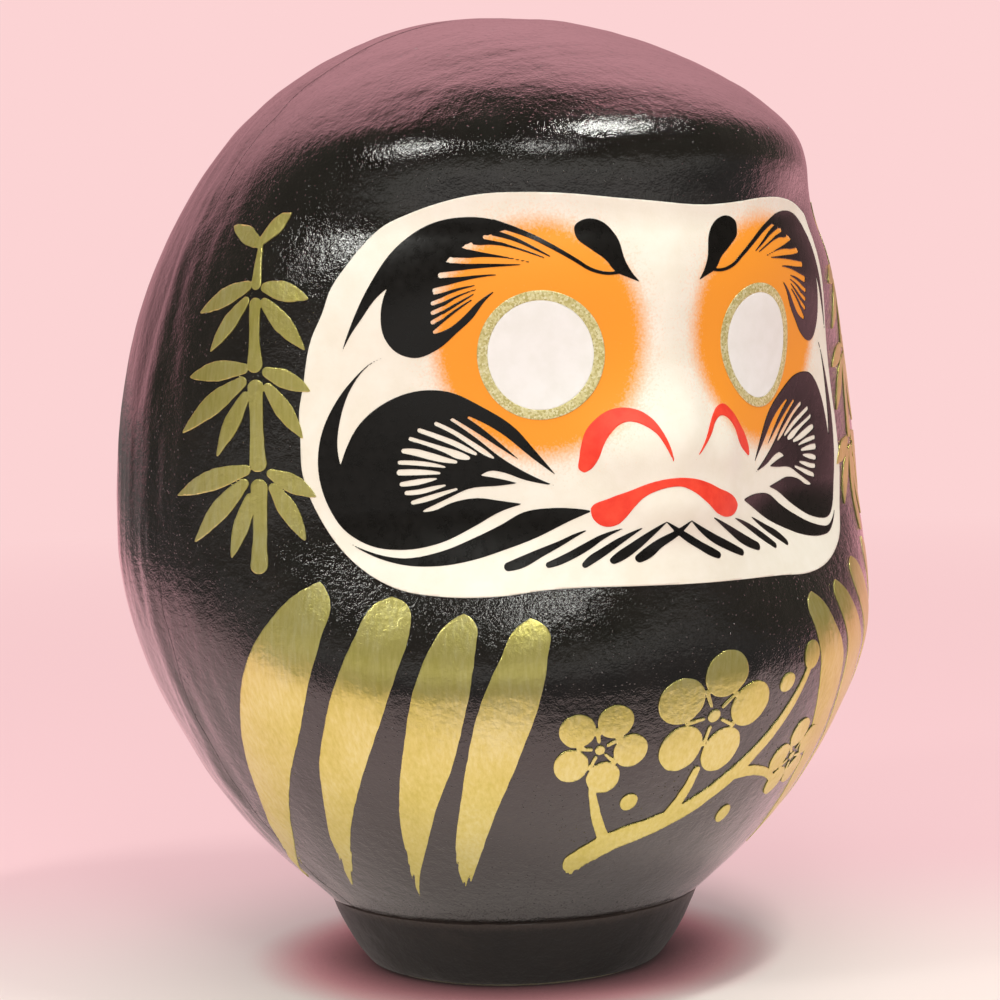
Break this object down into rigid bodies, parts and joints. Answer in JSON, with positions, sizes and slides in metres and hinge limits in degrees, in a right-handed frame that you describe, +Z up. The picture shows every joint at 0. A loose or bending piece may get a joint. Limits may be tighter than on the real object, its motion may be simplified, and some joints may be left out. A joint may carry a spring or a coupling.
{
  "type": "daruma doll",
  "caption": "Round hollow papier-mache wishing doll with a pressed-in painted face under a hood, standing upright on a small weighted clay foot",
  "frame": {"origin": "centre of the underside of the foot, on the surface that the doll stands on", "axes": "the face looks along -Y, +X is to the right of someone facing the doll, +Z is up"},
  "size_m": [0.2452, 0.2442, 0.3005],
  "materials": {
    "lacquered_paper": "gloss black lacquer over paper pulp, painted face and gold stripes",
    "bare_paper": "bare paper",
    "painted_clay": "satin black paint",
    "bare_clay": "bare dried clay",
    "dried_glue": "dried glue"
  },
  "bodies": {
    "root": {"front_shell": "lacquered_paper", "back_shell": "lacquered_paper", "outer_seam_strip": "lacquered_paper", "inner_seam_strip": "bare_paper", "foot_dish": "painted_clay", "clay_weight": "bare_clay", "neck_glue": "dried_glue", "base_disc": "bare_paper"}
  },
  "joints": []
}
